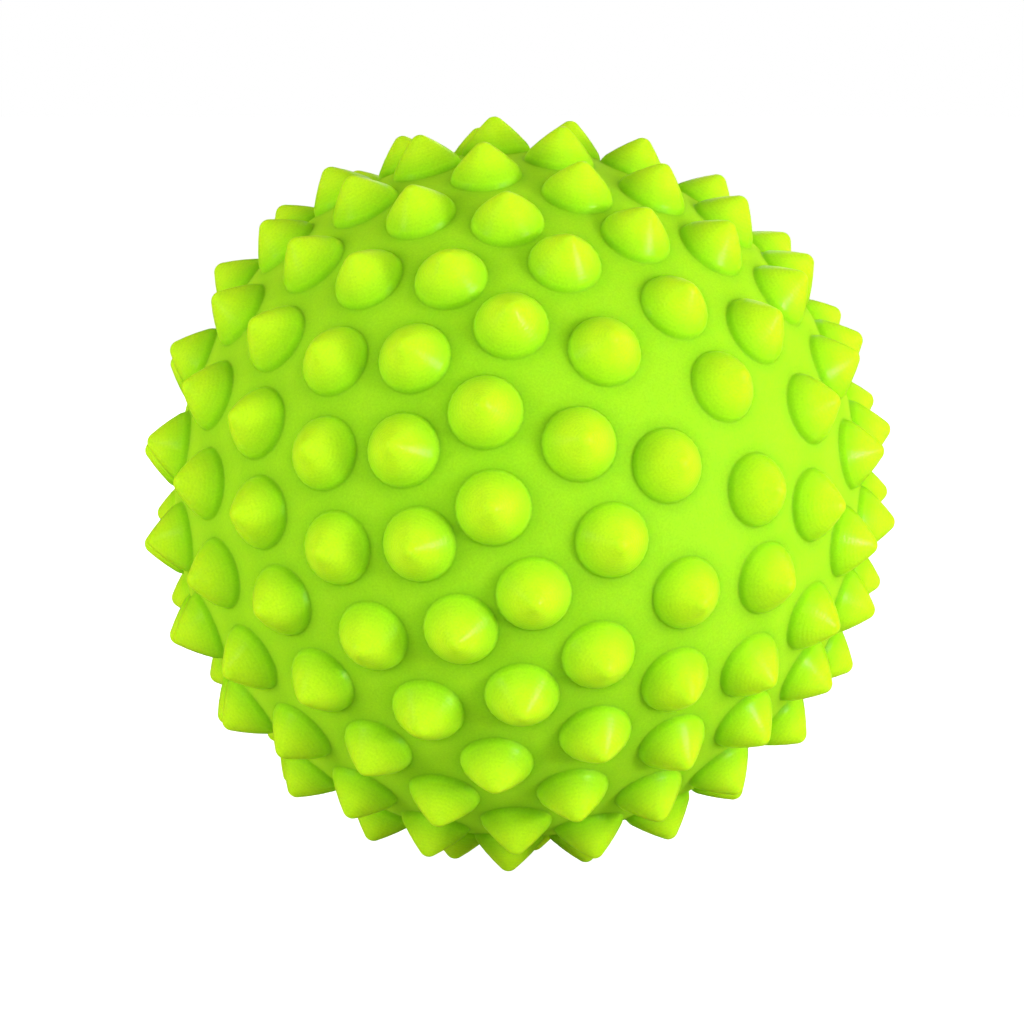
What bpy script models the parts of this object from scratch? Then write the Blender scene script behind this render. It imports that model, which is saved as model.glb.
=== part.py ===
"""Spiky massage ball: a hollow soft shell with moulded-on spikes and its air valve.

Metres, +Z up. The origin is the centre of the ball. The mould axis runs from the
front pole, where three spikes surround a bare spot, through the centre to the valve.
"""

import math

import bmesh
import bpy
from mathutils import Euler, Vector

# ---- driving dimensions -------------------------------------------------------

TIP_RADIUS = 0.045          # centre to spike tip: a 90 mm ball
BODY_RADIUS = 0.0409        # centre to the skin between the spikes
WALL = 0.0023               # soft shell, thicker inside the spikes
CLEARANCE = 0.0003          # gap between pieces that touch

SPIKE_SPREAD = math.radians(5.75)   # base circle, seen from the centre of the ball
SPIKE_SIDES = 8
SHOULDER_REACH = 0.86       # radius at the shoulder, as a part of the base radius
SHOULDER_RISE = 0.24        # height of the shoulder, as a part of the spike's height

# Rows run from the front pole to the valve: spikes in the row, its latitude in the mould
# and the angle of its first spike. They spread out a little towards the equator.
SPIKE_ROWS = (
    (3, 80.3, 192.9),
    (9, 67.0, 93.4),
    (15, 52.7, 92.7),
    (19, 40.2, 97.3),
    (22, 26.8, 90.5),
    (25, 13.0, 93.9),
    (25, -1.5, 87.4),
    (23, -16.1, 87.0),
    (21, -30.3, 94.8),
    (19, -43.0, 97.3),
    (15, -55.5, 92.7),
    (9, -68.0, 93.4),
    (3, -80.5, 192.9),
)

MOULD_TURN = math.radians(33.3)     # mould axis about +Z
MOULD_TIP = math.radians(76.1)      # front pole down from +Z

HOLE_RADIUS = 0.0022        # valve hole through the shell
BORE_RADIUS = 0.0012        # air passage in the sleeve
PLUG_HEAD_THICKNESS = 0.0010
PLUG_PROUD = 0.0002         # head above the skin
SLEEVE_FLANGE_RADIUS = 0.0045
SLEEVE_FLANGE_THICKNESS = 0.0012
SLEEVE_BODY_RADIUS = 0.0030
SLEEVE_LENGTH = 0.0062      # below the flange
PIN_LENGTH = 0.0062         # below the plug's head
PIN_POINT = 0.0004          # chamfer at the pin's end
PLUG_EDGE = 0.00025         # chamfer round the plug's head
TURNED_SIDES = 24
MERGE = 0.00001             # where a turned profile closes on itself

CAVITY_DETAIL = 4           # icosphere subdivisions
HOLE_CUT = 3 * WALL         # length of the valve hole's cutter
SPIKE_CREASE = math.radians(30)     # edges sharper than this stay sharp
VALVE_CREASE = math.radians(40)


# ---- scene and materials ------------------------------------------------------

def clear_scene():
    for obj in list(bpy.data.objects):
        bpy.data.objects.remove(obj, do_unlink=True)


def make_collection(name):
    collection = bpy.data.collections.new(name)
    bpy.context.scene.collection.children.link(collection)
    return collection


def make_material(name, colour, roughness, metallic=0.0):
    material = bpy.data.materials.new(name)
    material.use_nodes = True
    shader = material.node_tree.nodes["Principled BSDF"]
    shader.inputs["Base Color"].default_value = (*colour, 1.0)
    shader.inputs["Roughness"].default_value = roughness
    shader.inputs["Metallic"].default_value = metallic
    material.diffuse_color = (*colour, 1.0)
    return material


def add_object(name, bm, collection, parent=None, material=None):
    mesh = bpy.data.meshes.new(name)
    bm.to_mesh(mesh)
    bm.free()
    obj = bpy.data.objects.new(name, mesh)
    collection.objects.link(obj)
    obj.parent = parent
    if material:
        mesh.materials.append(material)
    return obj


def add_empty(name, collection, parent=None):
    empty = bpy.data.objects.new(name, None)
    empty.empty_display_size = TIP_RADIUS
    collection.objects.link(empty)
    empty.parent = parent
    return empty


def smooth(obj, angle):
    obj.data.shade_smooth()
    obj.data.set_sharp_from_angle(angle=angle)


# ---- spiky shell --------------------------------------------------------------

def spike_directions():
    """Unit vectors of all the spikes, in the mould's own axes (+Z is the front pole)."""
    directions = []
    for count, latitude, first in SPIKE_ROWS:
        height = math.sin(math.radians(latitude))
        reach = math.cos(math.radians(latitude))
        for i in range(count):
            turn = math.radians(first + 360 * i / count)
            directions.append(Vector((reach * math.cos(turn), reach * math.sin(turn), height)))
    return directions


def base_circle(direction):
    """Points where a spike's foot meets the ball."""
    side = direction.orthogonal().normalized()
    other = direction.cross(side)
    points = []
    for i in range(SPIKE_SIDES):
        turn = 2 * math.pi * i / SPIKE_SIDES
        outward = side * math.cos(turn) + other * math.sin(turn)
        point = direction * math.cos(SPIKE_SPREAD) + outward * math.sin(SPIKE_SPREAD)
        points.append(point * BODY_RADIUS)
    return points


def ball_with_flat_feet(directions):
    """The ball as a hull through every base circle, with one flat face under each spike."""
    bm = bmesh.new()
    owner = {}
    for index, direction in enumerate(directions):
        for point in base_circle(direction):
            owner[bm.verts.new(point)] = index
    bmesh.ops.convex_hull(bm, input=bm.verts, use_existing_faces=False)

    feet = {}
    for face in bm.faces:
        owners = {owner[vert] for vert in face.verts}
        if len(owners) == 1:
            feet.setdefault(owners.pop(), []).append(face)
    flat_feet = []
    for faces in feet.values():
        flat_feet += bmesh.ops.dissolve_faces(bm, faces=faces)["region"]
    return bm, flat_feet


def raise_spikes(bm, flat_feet):
    """Grow each flat foot into a spike: a steep shoulder, then a straight cone to the tip."""
    foot_height = BODY_RADIUS * math.cos(SPIKE_SPREAD)
    spike_height = TIP_RADIUS - foot_height
    shoulders = bmesh.ops.extrude_discrete_faces(bm, faces=flat_feet)["faces"]
    for face in shoulders:
        axis = face.calc_center_median()
        direction = axis.normalized()
        for vert in face.verts:
            outward = vert.co - axis
            vert.co = axis + outward * SHOULDER_REACH + direction * SHOULDER_RISE * spike_height
    tips = bmesh.ops.poke(bm, faces=shoulders)["verts"]
    for vert in tips:
        vert.co = vert.co.normalized() * TIP_RADIUS


def make_shell(collection, cutters, mould, material):
    bm, flat_feet = ball_with_flat_feet(spike_directions())
    raise_spikes(bm, flat_feet)
    bmesh.ops.triangulate(bm, faces=[face for face in bm.faces if len(face.verts) > 3])
    bmesh.ops.recalc_face_normals(bm, faces=bm.faces)
    shell = add_object("ball_shell", bm, collection, mould, material)
    cut(shell, cavity_cutter(cutters, mould))
    cut(shell, valve_hole_cutter(cutters, mould))
    smooth(shell, SPIKE_CREASE)
    return shell


# ---- cutters ------------------------------------------------------------------

def cavity_cutter(cutters, mould):
    bm = bmesh.new()
    bmesh.ops.create_icosphere(bm, subdivisions=CAVITY_DETAIL, radius=BODY_RADIUS - WALL)
    return hide_cutter(add_object("cavity_cutter", bm, cutters, mould))


def valve_hole_cutter(cutters, mould):
    """Drill from outside the skin into the hollow, on the mould axis."""
    bm = bmesh.new()
    bmesh.ops.create_cone(
        bm, cap_ends=True, segments=TURNED_SIDES,
        radius1=HOLE_RADIUS, radius2=HOLE_RADIUS, depth=HOLE_CUT)
    cutter = add_object("valve_hole_cutter", bm, cutters, mould)
    cutter.location.z = WALL / 2 - BODY_RADIUS
    return hide_cutter(cutter)


def hide_cutter(cutter):
    cutter.hide_render = True
    cutter.display_type = "WIRE"
    return cutter


def cut(obj, cutter):
    modifier = obj.modifiers.new(cutter.name, "BOOLEAN")
    modifier.operation = "DIFFERENCE"
    modifier.solver = "EXACT"
    modifier.object = cutter


# ---- valve --------------------------------------------------------------------

def turned(name, profile, closed, collection, parent, material):
    """Turn a profile of (radius, height) points round the local Z axis."""
    bm = bmesh.new()
    verts = [bm.verts.new((radius, 0.0, height)) for radius, height in profile]
    ends = verts[1:] + verts[:1] if closed else verts[1:]
    for start, end in zip(verts, ends):
        bm.edges.new((start, end))
    obj = add_object(name, bm, collection, parent, material)
    screw = obj.modifiers.new("turn", "SCREW")
    screw.steps = TURNED_SIDES
    screw.render_steps = TURNED_SIDES
    screw.use_merge_vertices = True
    screw.merge_threshold = MERGE
    smooth(obj, VALVE_CREASE)
    return obj


def make_valve_sleeve(collection, valve, material):
    """Soft sleeve: its neck fills the hole and its flange backs the shell from inside."""
    seat = BODY_RADIUS + PLUG_PROUD - PLUG_HEAD_THICKNESS - CLEARANCE
    neck = HOLE_RADIUS - CLEARANCE
    inner_skin = math.sqrt((BODY_RADIUS - WALL) ** 2 - SLEEVE_FLANGE_RADIUS ** 2)
    flange_top = inner_skin - CLEARANCE
    flange_bottom = flange_top - SLEEVE_FLANGE_THICKNESS
    end = flange_bottom - SLEEVE_LENGTH
    profile = (
        (neck, seat),
        (neck, flange_top),
        (SLEEVE_FLANGE_RADIUS, flange_top),
        (SLEEVE_FLANGE_RADIUS, flange_bottom),
        (SLEEVE_BODY_RADIUS, flange_bottom),
        (SLEEVE_BODY_RADIUS, end),
        (BORE_RADIUS, end),
        (BORE_RADIUS, seat),
    )
    return turned("valve_sleeve", profile, True, collection, valve, material)


def make_valve_plug(collection, valve, material):
    """Push-in plug with a flat head; its origin is on the valve axis under the head."""
    head = HOLE_RADIUS - CLEARANCE
    pin = BORE_RADIUS - CLEARANCE
    profile = (
        (0.0, PLUG_HEAD_THICKNESS),
        (head - PLUG_EDGE, PLUG_HEAD_THICKNESS),
        (head, PLUG_HEAD_THICKNESS - PLUG_EDGE),
        (head, 0.0),
        (pin, 0.0),
        (pin, -PIN_LENGTH),
        (pin - PIN_POINT, -PIN_LENGTH - PIN_POINT),
        (0.0, -PIN_LENGTH - PIN_POINT),
    )
    plug = turned("valve_plug", profile, False, collection, valve, material)
    plug.location.z = BODY_RADIUS + PLUG_PROUD - PLUG_HEAD_THICKNESS
    return plug


# ---- assembly -----------------------------------------------------------------

def build():
    clear_scene()
    parts = make_collection("massage_ball")
    cutters = make_collection("cutters")

    lime = make_material("lime_vinyl", (0.40, 0.81, 0.014), 0.42)
    sleeve_vinyl = make_material("sleeve_vinyl", (0.33, 0.70, 0.012), 0.55)
    plug_plastic = make_material("plug_plastic", (0.36, 0.76, 0.013), 0.35)

    mould = add_empty("mould_axis", parts)
    mould.rotation_euler = Euler((MOULD_TIP, 0.0, MOULD_TURN))
    valve = add_empty("valve_axis", parts, mould)
    valve.rotation_euler = Euler((math.pi, 0.0, 0.0))

    make_shell(parts, cutters, mould, lime)
    make_valve_sleeve(parts, valve, sleeve_vinyl)
    make_valve_plug(parts, valve, plug_plastic)


build()
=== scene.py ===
"""Looks of the spiky massage ball: finely turned spikes, soft lime vinyl, a light tent."""

import math

import bmesh
import bpy
from mathutils import Euler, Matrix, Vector
from mathutils.kdtree import KDTree


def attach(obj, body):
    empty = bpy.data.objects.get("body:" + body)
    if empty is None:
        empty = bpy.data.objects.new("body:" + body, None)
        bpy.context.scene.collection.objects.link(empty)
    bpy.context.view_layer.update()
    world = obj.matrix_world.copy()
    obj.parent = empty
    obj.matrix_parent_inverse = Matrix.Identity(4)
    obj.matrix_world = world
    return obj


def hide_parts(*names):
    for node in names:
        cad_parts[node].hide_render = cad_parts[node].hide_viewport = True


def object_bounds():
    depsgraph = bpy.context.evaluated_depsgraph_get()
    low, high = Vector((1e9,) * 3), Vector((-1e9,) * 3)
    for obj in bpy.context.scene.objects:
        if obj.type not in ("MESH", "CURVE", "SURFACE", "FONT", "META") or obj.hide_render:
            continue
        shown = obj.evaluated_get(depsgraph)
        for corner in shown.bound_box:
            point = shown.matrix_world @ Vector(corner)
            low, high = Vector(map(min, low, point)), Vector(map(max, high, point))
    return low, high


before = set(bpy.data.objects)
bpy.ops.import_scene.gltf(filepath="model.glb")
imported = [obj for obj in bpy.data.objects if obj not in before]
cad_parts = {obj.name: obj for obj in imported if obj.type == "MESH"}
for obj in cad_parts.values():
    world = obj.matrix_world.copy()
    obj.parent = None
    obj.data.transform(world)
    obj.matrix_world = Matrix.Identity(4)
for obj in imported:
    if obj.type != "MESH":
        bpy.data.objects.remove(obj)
cad_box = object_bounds()

# ---- driving dimensions, in metres, as in the CAD model ---------------------------

TIP_RADIUS = 0.04499         # a hair under the CAD's, whose tips are sharp
BODY_RADIUS = 0.0409
WALL = 0.0023

# Rows of spikes from the front pole to the valve: count, latitude, angle of the first.
SPIKE_ROWS = (
    (3, 80.3, 192.9),
    (9, 67.0, 93.4),
    (15, 52.7, 92.7),
    (19, 40.2, 97.3),
    (22, 26.8, 90.5),
    (25, 13.0, 93.9),
    (25, -1.5, 87.4),
    (23, -16.1, 87.0),
    (21, -30.3, 94.8),
    (19, -43.0, 97.3),
    (15, -55.5, 92.7),
    (9, -68.0, 93.4),
    (3, -80.5, 192.9),
)
MOULD_TURN = math.radians(33.3)
MOULD_TIP = math.radians(76.1)
MOULD = Euler((MOULD_TIP, 0.0, MOULD_TURN)).to_matrix()

# A spike's outline, from its tip down: a round nose, a slightly bulging flank, a round
# shoulder that steepens to the foot, and a tight hollow where the foot meets the skin.
NOSE_ROUND = 0.0012
SHOULDER_ROUND = 0.0022
FOOT_ROUND = 0.0002
NOSE_SLOPE = math.radians(41)
SHOULDER_SLOPE = math.radians(51)
FOOT_SLOPE = math.radians(78)
SKIN_SLOPE = math.radians(5.8)
NOSE_STEPS = 4
FLANK_STEPS = 3
SHOULDER_STEPS = 6
FOOT_STEPS = 4
SPIKE_SIDES = 24
SKIN_CUTS = 2                # extra points along the skin from one foot to the next

HOLE_RADIUS = 0.0022
HOLE_EDGE = 0.0002           # rounding of the valve hole's mouth
HOLE_EDGE_STEPS = 4
HOLE_SIDES = 20
LINING_STEPS = 20            # rings of the inner surface, from the hole to the far side


# ---- small tools ------------------------------------------------------------------

def finish_piece(name, bm, material, body, node):
    """Make the mesh a smooth object that stands for a CAD node and rides on its body."""
    bmesh.ops.recalc_face_normals(bm, faces=bm.faces)
    mesh = bpy.data.meshes.new(name)
    bm.to_mesh(mesh)
    bm.free()
    mesh.materials.append(material)
    mesh.shade_smooth()
    obj = bpy.data.objects.new(name, mesh)
    bpy.context.scene.collection.objects.link(obj)
    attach(obj, body)
    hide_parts(node)
    return obj


def circle(direction, reach, height, sides):
    """Points round a direction from the centre, at a reach from its axis and a height."""
    side = direction.orthogonal().normalized()
    other = direction.cross(side)
    points = []
    for i in range(sides):
        turn = 2 * math.pi * i / sides
        outward = side * math.cos(turn) + other * math.sin(turn)
        points.append(direction * height + outward * reach)
    return points


def arc(start, round_radius, slope_from, slope_to, steps):
    """Points on down an outline from start, as its slope turns from one angle to another."""
    reach, height = start
    hollow = 1 if slope_to > slope_from else -1
    points = []
    for i in range(1, steps + 1):
        slope = slope_from + (slope_to - slope_from) * i / steps
        points.append((
            reach + hollow * round_radius * (math.sin(slope) - math.sin(slope_from)),
            height - hollow * round_radius * (math.cos(slope_from) - math.cos(slope)),
        ))
    return points


def spike_outline():
    """(reach, height) points from the tip to the skin, without the tip point itself."""
    fixed = (
        (NOSE_ROUND, 0.0, NOSE_SLOPE),
        (SHOULDER_ROUND, SHOULDER_SLOPE, FOOT_SLOPE),
        (-FOOT_ROUND, FOOT_SLOPE, SKIN_SLOPE),
    )
    spread = sum(size * (math.sin(end) - math.sin(start)) for size, start, end in fixed)
    top = TIP_RADIUS - sum(
        size * (math.cos(start) - math.cos(end)) for size, start, end in fixed)
    # The flank's radius is the one that brings the end of the outline to the skin.
    across = math.sin(SHOULDER_SLOPE) - math.sin(NOSE_SLOPE)
    down = math.cos(NOSE_SLOPE) - math.cos(SHOULDER_SLOPE)
    square = across ** 2 + down ** 2
    half = top * down - spread * across
    rest = top ** 2 + spread ** 2 - BODY_RADIUS ** 2
    flank_round = (half - math.sqrt(half ** 2 - square * rest)) / square

    points = arc((0.0, TIP_RADIUS), NOSE_ROUND, 0.0, NOSE_SLOPE, NOSE_STEPS)
    points += arc(points[-1], flank_round, NOSE_SLOPE, SHOULDER_SLOPE, FLANK_STEPS)
    points += arc(points[-1], SHOULDER_ROUND, SHOULDER_SLOPE, FOOT_SLOPE, SHOULDER_STEPS)
    points += arc(points[-1], FOOT_ROUND, FOOT_SLOPE, SKIN_SLOPE, FOOT_STEPS)
    return points


# ---- ball shell -------------------------------------------------------------------

def spike_directions():
    """Unit vectors of all the spikes, in the world."""
    directions = []
    for count, latitude, first in SPIKE_ROWS:
        height = math.sin(math.radians(latitude))
        reach = math.cos(math.radians(latitude))
        for i in range(count):
            turn = math.radians(first + 360 * i / count)
            local = Vector((reach * math.cos(turn), reach * math.sin(turn), height))
            directions.append(MOULD @ local)
    return directions


def stretch_skin(bm, rings):
    """Skin of the ball between rings of points: their hull, less what closes each ring."""
    owner = {bm.verts.new(point): index for index, ring in enumerate(rings) for point in ring}
    bmesh.ops.convex_hull(bm, input=bm.verts, use_existing_faces=False)
    lids = [face for face in bm.faces if len({owner[vert] for vert in face.verts}) == 1]
    bmesh.ops.delete(bm, geom=lids, context="FACES_ONLY")
    loose = [edge for edge in bm.edges if not edge.link_faces]
    bmesh.ops.delete(bm, geom=loose, context="EDGES")
    between = [edge for edge in bm.edges if owner[edge.verts[0]] != owner[edge.verts[1]]]
    bmesh.ops.subdivide_edges(bm, edges=between, cuts=SKIN_CUTS, use_grid_fill=True)

    bm.verts.ensure_lookup_table()
    for vert in bm.verts[len(owner):]:
        vert.co = vert.co.normalized() * BODY_RADIUS
    verts = iter(bm.verts)
    return [[next(verts) for point in ring] for ring in rings]


def add_ring(bm, outer, points):
    """A new ring of verts joined by a band of faces to the ring before it."""
    ring = [bm.verts.new(point) for point in points]
    count = len(ring)
    for i in range(count):
        after = (i + 1) % count
        bm.faces.new((outer[i], outer[after], ring[after], ring[i]))
    return ring


def close_ring(bm, outer, point):
    tip = bm.verts.new(point)
    for i in range(len(outer)):
        bm.faces.new((outer[i], outer[(i + 1) % len(outer)], tip))


def grow_spike(bm, foot, direction, outline):
    """Raise one spike from its foot ring to its tip."""
    ring = foot
    for reach, height in reversed(outline[:-1]):
        ring = add_ring(bm, ring, circle(direction, reach, height, SPIKE_SIDES))
    close_ring(bm, ring, direction * TIP_RADIUS)


def line_hollow(bm, mouth, direction):
    """From the valve hole's mouth: its rounded edge, its wall and the inside of the ball."""
    ring = mouth
    top = math.sqrt(BODY_RADIUS ** 2 - (HOLE_RADIUS + HOLE_EDGE) ** 2)
    for inward, height in arc((0.0, top), HOLE_EDGE, 0.0, math.radians(90), HOLE_EDGE_STEPS):
        points = circle(direction, HOLE_RADIUS + HOLE_EDGE - inward, height, HOLE_SIDES)
        ring = add_ring(bm, ring, points)
    inner_radius = BODY_RADIUS - WALL
    start = math.asin(HOLE_RADIUS / inner_radius)
    for i in range(LINING_STEPS):
        polar = start + (math.pi - start) * i / LINING_STEPS
        reach, height = inner_radius * math.sin(polar), inner_radius * math.cos(polar)
        ring = add_ring(bm, ring, circle(direction, reach, height, HOLE_SIDES))
    close_ring(bm, ring, -direction * inner_radius)


def mark_reach(mesh, directions):
    """Give each vertex its distance from the axis of the nearest spike."""
    tree = KDTree(len(directions))
    for index, direction in enumerate(directions):
        tree.insert(direction, index)
    tree.balance()
    marks = mesh.attributes.new("spike_reach", "FLOAT", "POINT")
    for vert, mark in zip(mesh.vertices, marks.data):
        axis = tree.find(vert.co.normalized())[0]
        mark.value = vert.co.cross(axis).length


def make_shell(material):
    directions = spike_directions()
    outline = spike_outline()
    foot_reach, foot_height = outline[-1]
    valve_way = MOULD @ Vector((0, 0, -1))
    mouth_reach = HOLE_RADIUS + HOLE_EDGE
    mouth_height = math.sqrt(BODY_RADIUS ** 2 - mouth_reach ** 2)
    feet = [circle(way, foot_reach, foot_height, SPIKE_SIDES) for way in directions]
    mouth = circle(valve_way, mouth_reach, mouth_height, HOLE_SIDES)

    bm = bmesh.new()
    *foot_rings, mouth_ring = stretch_skin(bm, [*feet, mouth])
    for ring, direction in zip(foot_rings, directions):
        grow_spike(bm, ring, direction, outline)
    line_hollow(bm, mouth_ring, valve_way)
    shell = finish_piece("spiky_skin", bm, material, "ball", "ball_shell")
    mark_reach(shell.data, directions)


# ---- materials --------------------------------------------------------------------

# Reaches are distances from the axis of the nearest spike, in metres.
TIP_REACH = 0.0018           # the thin end of a spike, in its lightest tone: a painted glow
SHADE_REACH = 0.0038         # from here out a spike's side darkens with painted shade and loses its gloss
EDGE_REACH = 0.0040          # the spike's own tone and marks fade out from here ...
FOOT_REACH = 0.0042          # ... to the crease between spike and skin
MATT_REACH = 0.0044          # from here on the skin has its full roughness
# painted shade at each foot: a dark crease along its edge and a darker halo on the skin round it
HALO_START = 0.0041          # the skin's shade round a foot is full here ...
HALO_REACH = 0.0060          # ... and ends here
CREASE_WIDTH = 0.00035       # the crease's painted shade, on either side of the foot's edge
CREASE_PAINTED_SHADE = 0.38
HALO_PAINTED_SHADE = 0.25

SKIN_TONES = ((0.365, 0.725, 0.014), (0.395, 0.750, 0.016))
SPIKE_TONES = ((0.380, 0.765, 0.014), (0.575, 0.90, 0.019))     # foot, and tip with its painted glow
# painted shade: the colour that the crease and the skin round each foot darken towards
PAINTED_SHADE_TONE = (0.125, 0.44, 0.006)
FLECK_AND_RING_SHADE_TONES = ((0.80, 0.87, 0.70), (1.20, 1.13, 1.30))

CLOUD_SCALE = 60
CLOUD_DETAIL = 3
GRAIN_DETAIL = 2
GRAIN_SCALE = 4500
GRAIN_DEPTH = 0.00006
GRAIN_STRENGTH = 0.35
RING_PITCH = 0.00034         # fine turning marks round each spike
RING_DEPTH = 0.00002
RING_STRENGTH = 0.2
# painted shade of the turning marks, laid into the colour
RING_PAINTED_SHADE = 0.045
SPIKE_ROUGHNESS = 0.28
SKIN_ROUGHNESS = 0.7
SHELL_SHINE = 0.16

SINK_RATIO = (0.8, 1.0, 0.2)        # how far red, green and blue light sink into the vinyl
SHELL_SINK = 0.0007
VALVE_SINK = 0.0004

# The CAD's own valve pieces: node, colour and roughness.
VALVE_PIECES = (
    ("valve_sleeve", (0.34, 0.70, 0.013), 0.55),
    ("valve_plug", (0.40, 0.80, 0.014), 0.38),
)
VALVE_SHINE = 0.25
VALVE_CLOUD_SCALE = 900
VALVE_CLOUD_TONE = 0.9       # the darker cloud against the piece's colour
VALVE_GRAIN_SCALE = 6000
VALVE_GRAIN_DEPTH = 0.00004
VALVE_GRAIN_STRENGTH = 0.3


class Recipe:
    """A material with a Principled shader and the procedural nodes that feed it."""

    def __init__(self, name):
        self.material = bpy.data.materials.new(name)
        self.material.use_nodes = True
        self.tree = self.material.node_tree
        self.shader = self.tree.nodes["Principled BSDF"]

    def feed(self, socket, value):
        """Link another node's output to the socket, or set the socket's own value."""
        if isinstance(value, bpy.types.NodeSocket):
            self.tree.links.new(value, socket)
        else:
            socket.default_value = value

    def shade(self, **inputs):
        """Feed the shader's inputs, which are named with _ for each space."""
        for name, value in inputs.items():
            self.feed(self.shader.inputs[name.replace("_", " ")], value)

    def add(self, kind, output, inputs, **settings):
        """The named output of a new node with these settings and inputs."""
        node = self.tree.nodes.new("ShaderNode" + kind)
        for name, value in settings.items():
            setattr(node, name, value)
        for name, value in inputs.items():
            self.feed(node.inputs[name], value)
        return node.outputs[output]

    def mix(self, factor, low, high, blend="MIX"):
        """From low to high with the factor; each is a colour or another node's output."""
        low, high = (
            (*colour, 1) if isinstance(colour, tuple) else colour for colour in (low, high))
        return self.add("Mix", "Result", {"Factor": factor, "A": low, "B": high},
                        data_type="RGBA", blend_type=blend)

    def span(self, value, start, end, low=0.0, high=1.0):
        """Goes from low to high as the value goes from start to end, gently at both ends."""
        return self.add("MapRange", "Result", {
            "Value": value, "From Min": start, "From Max": end, "To Min": low, "To Max": high,
        }, interpolation_type="SMOOTHSTEP")

    def maths(self, operation, *values):
        return self.add("Math", "Value", dict(enumerate(values)), operation=operation)

    def noise(self, place, scale, detail):
        return self.add("TexNoise", "Fac", {"Vector": place, "Scale": scale, "Detail": detail})

    def bump(self, height, depth, strength, **over):
        return self.add("Bump", "Normal", {
            "Height": height, "Distance": depth, "Strength": strength, **over})


def vinyl(name, shine, sink):
    """Plain soft vinyl that light sinks into, and the place on the object for its textures."""
    recipe = Recipe(name)
    recipe.shade(
        Specular_IOR_Level=shine, Subsurface_Weight=1.0, Subsurface_Radius=SINK_RATIO,
        Subsurface_Scale=sink)
    return recipe, recipe.add("TexCoord", "Object", {})


def painted_shade_at_foot(recipe, reach):
    """How dark the painted shade is in the crease at a spike's foot and on the skin close round
    it.
    """
    from_foot = recipe.maths("ABSOLUTE", recipe.maths("SUBTRACT", reach, FOOT_REACH))
    crease = recipe.span(from_foot, CREASE_WIDTH, 0.0, 0.0, CREASE_PAINTED_SHADE)
    halo = recipe.maths(
        "MULTIPLY", recipe.span(reach, HALO_REACH, HALO_START, 0.0, HALO_PAINTED_SHADE),
        recipe.span(reach, SHADE_REACH, FOOT_REACH))
    return recipe.maths("MAXIMUM", crease, halo)


def lime_vinyl():
    """Soft lime vinyl: light sinks in, the thin spike tips have a painted glow and their turning
    marks show in relief and as painted shade.
    """
    recipe, place = vinyl("lime_vinyl", SHELL_SHINE, SHELL_SINK)
    reach = recipe.add("Attribute", "Fac", {}, attribute_name="spike_reach")
    on_spike = recipe.span(reach, FOOT_REACH, EDGE_REACH)
    rings = recipe.maths("SINE", recipe.maths("MULTIPLY", reach, 2 * math.pi / RING_PITCH))
    marks = recipe.maths("MULTIPLY", rings, on_spike)
    grain = recipe.noise(place, GRAIN_SCALE, GRAIN_DETAIL)

    skin = recipe.mix(recipe.noise(place, CLOUD_SCALE, CLOUD_DETAIL), *SKIN_TONES)
    # each spike painted lighter and yellower towards its tip: a painted glow, on top of the
    # light that really sinks in
    spike = recipe.mix(recipe.span(reach, FOOT_REACH, TIP_REACH), *SPIKE_TONES)
    colour = recipe.mix(on_spike, skin, spike)
    # painted shade in the crease at each foot and on the skin close round it
    colour = recipe.mix(painted_shade_at_foot(recipe, reach), colour, PAINTED_SHADE_TONE)
    # fine random grain in the colour, with the turning marks added to it as painted shade
    fleck_and_ring_shade = recipe.maths("ADD", grain, recipe.maths("MULTIPLY", marks, RING_PAINTED_SHADE))
    colour = recipe.mix(1.0, colour, recipe.mix(fleck_and_ring_shade, *FLECK_AND_RING_SHADE_TONES), "MULTIPLY")

    turned = recipe.bump(marks, RING_DEPTH, RING_STRENGTH)
    recipe.shade(
        Base_Color=colour,
        Roughness=recipe.span(reach, SHADE_REACH, MATT_REACH, SPIKE_ROUGHNESS, SKIN_ROUGHNESS),
        Normal=recipe.bump(grain, GRAIN_DEPTH, GRAIN_STRENGTH, Normal=turned))
    return recipe.material


def valve_vinyl(name, colour, roughness):
    """Vinyl of a valve piece: a faint cloudy tint and a fine moulded grain."""
    recipe, place = vinyl(name, VALVE_SHINE, VALVE_SINK)
    cloud = recipe.noise(place, VALVE_CLOUD_SCALE, GRAIN_DETAIL)
    darker = tuple(VALVE_CLOUD_TONE * channel for channel in colour)
    grain = recipe.noise(place, VALVE_GRAIN_SCALE, GRAIN_DETAIL)
    recipe.shade(
        Base_Color=recipe.mix(cloud, colour, darker), Roughness=roughness,
        Normal=recipe.bump(grain, VALVE_GRAIN_DEPTH, VALVE_GRAIN_STRENGTH))
    return recipe.material


# ---- studio -----------------------------------------------------------------------

CAMERA_RISE = math.radians(8)
CAMERA_AWAY = 8 * TIP_RADIUS
CAMERA_LENS = 105.5
CAMERA_SHIFT = (-0.0060, -0.0181)
CAMERA_NEAR = 0.01

# Lamps: name, turn and rise in degrees as seen from the ball, size in metres and watts.
LIGHT_AWAY = 0.5
SOFT_BOXES = (
    ("right_top", 45, 35, 0.30, 0.95),
    ("right_high", 72, 12, 0.35, 0.80),
    ("front_top", 0, 42, 0.35, 0.35),
    ("front_left", -20, 8, 0.35, 0.42),
    ("left_high", -72, 10, 0.35, 0.88),
    ("left_side", -60, 0, 0.35, 0.75),
    ("back_left", -155, 12, 0.35, 1.25),
    ("back_right", 155, 12, 0.35, 1.25),
    ("back_top", 180, 50, 0.35, 0.60),
)
GLINTS = (
    ("key", 52, 4, 0.09, 0.95),
    ("left_glint", -62, 12, 0.08, 0.15),
    ("back_glint", 172, 30, 0.12, 0.08),
)
WORLD_LIGHT = 0.05

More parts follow.
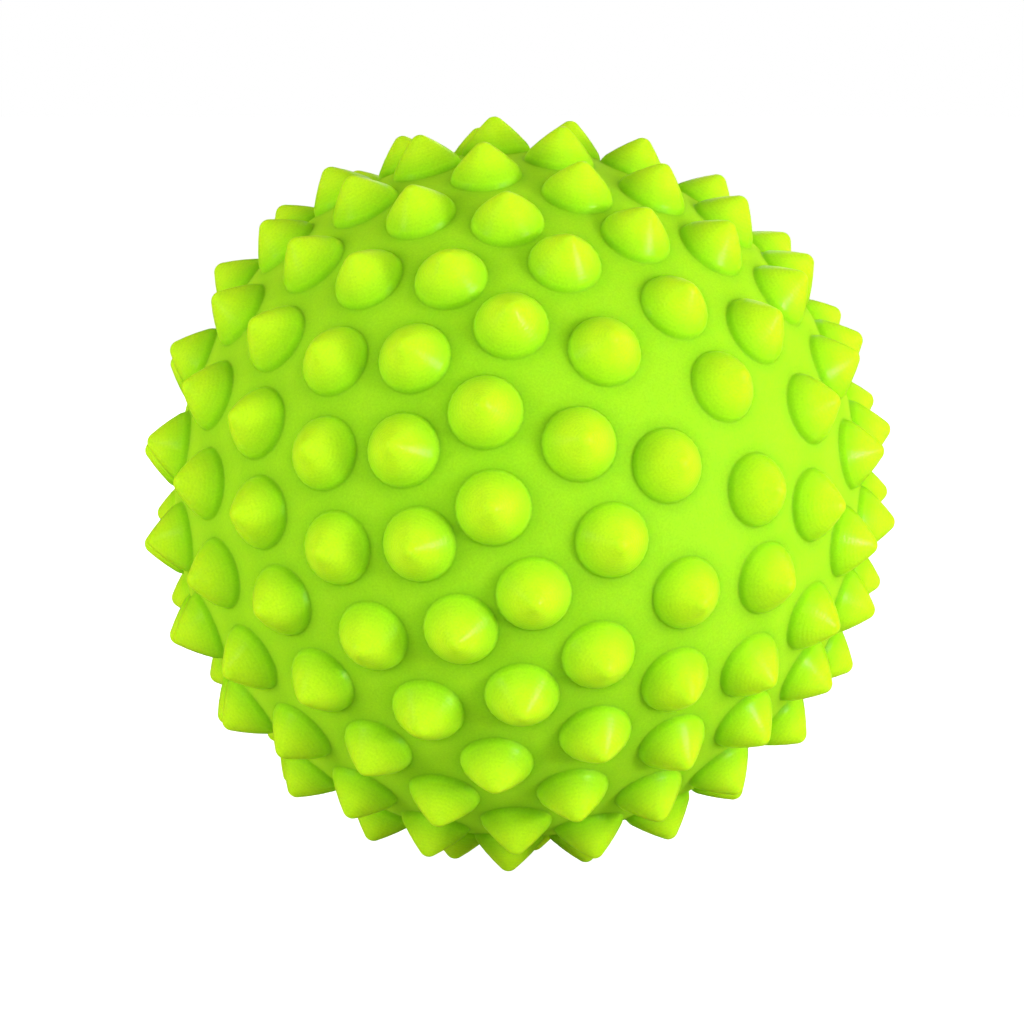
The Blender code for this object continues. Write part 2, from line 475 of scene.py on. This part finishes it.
FLOOR_REACH = 6
FLOOR_COLOUR = (0.6, 0.6, 0.6)
FLOOR_ROUGHNESS = 0.9


def towards(turn, rise):
    """Unit vector from the ball: turn 0 is the camera's side, 90 the viewer's right."""
    turn, rise = math.radians(turn), math.radians(rise)
    return Vector((
        math.sin(turn) * math.cos(rise), -math.cos(turn) * math.cos(rise), math.sin(rise)))


def make_camera():
    data = bpy.data.cameras.new("camera")
    data.lens = CAMERA_LENS
    data.shift_x, data.shift_y = CAMERA_SHIFT
    data.clip_start = CAMERA_NEAR
    camera = bpy.data.objects.new("camera", data)
    camera.location = towards(0, math.degrees(CAMERA_RISE)) * CAMERA_AWAY
    camera.rotation_euler = (math.pi / 2 - CAMERA_RISE, 0, 0)
    bpy.context.scene.collection.objects.link(camera)
    bpy.context.scene.camera = camera


def add_light(name, turn, rise, size, watts, shines):
    """A square lamp that faces the ball; only one that shines shows as a highlight."""
    data = bpy.data.lights.new(name, "AREA")
    data.shape = "SQUARE"
    data.size = size
    data.energy = watts
    light = bpy.data.objects.new(name, data)
    light.visible_glossy = shines
    way = towards(turn, rise)
    light.location = way * LIGHT_AWAY
    light.rotation_euler = way.to_track_quat("Z", "Y").to_euler()
    bpy.context.scene.collection.objects.link(light)


def make_floor():
    """Pale floor that looks as white as the backdrop but throws back only part of the light."""
    recipe = Recipe("pale_floor")
    recipe.shade(
        Base_Color=(*FLOOR_COLOUR, 1), Roughness=FLOOR_ROUGHNESS, Specular_IOR_Level=0.0,
        Emission_Color=(1, 1, 1, 1),
        Emission_Strength=recipe.add("LightPath", "Is Camera Ray", {}))
    bm = bmesh.new()
    bmesh.ops.create_grid(bm, x_segments=1, y_segments=1, size=FLOOR_REACH)
    mesh = bpy.data.meshes.new("floor")
    bm.to_mesh(mesh)
    bm.free()
    mesh.materials.append(recipe.material)
    floor = bpy.data.objects.new("floor", mesh)
    floor.location.z = cad_box[0].z
    floor.visible_glossy = False
    bpy.context.scene.collection.objects.link(floor)


def make_world():
    """White behind everything, and a faint even light from all round."""
    world = bpy.data.worlds.new("tent")
    bpy.context.scene.world = world
    world.use_nodes = True
    world.cycles_visibility.glossy = False
    nodes, links = world.node_tree.nodes, world.node_tree.links
    glow = nodes["Background"]
    glow.inputs["Color"].default_value = (1, 1, 1, 1)
    glow.inputs["Strength"].default_value = WORLD_LIGHT
    backdrop = nodes.new("ShaderNodeBackground")
    backdrop.inputs["Color"].default_value = (1, 1, 1, 1)
    backdrop.inputs["Strength"].default_value = 1.0
    path = nodes.new("ShaderNodeLightPath")
    choose = nodes.new("ShaderNodeMixShader")
    links.new(path.outputs["Is Camera Ray"], choose.inputs["Fac"])
    links.new(glow.outputs[0], choose.inputs[1])
    links.new(backdrop.outputs[0], choose.inputs[2])
    links.new(choose.outputs[0], nodes["World Output"].inputs["Surface"])


def make_lights():
    for light in SOFT_BOXES:
        add_light(*light, shines=False)
    for light in GLINTS:
        add_light(*light, shines=True)


# ---- build ------------------------------------------------------------------------

make_shell(lime_vinyl())
for node, colour, roughness in VALVE_PIECES:
    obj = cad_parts[node]
    obj.data.materials.clear()
    obj.data.materials.append(valve_vinyl(node + "_vinyl", colour, roughness))

make_camera()
make_floor()
make_world()
make_lights()
bpy.context.scene.view_settings.view_transform = "Standard"
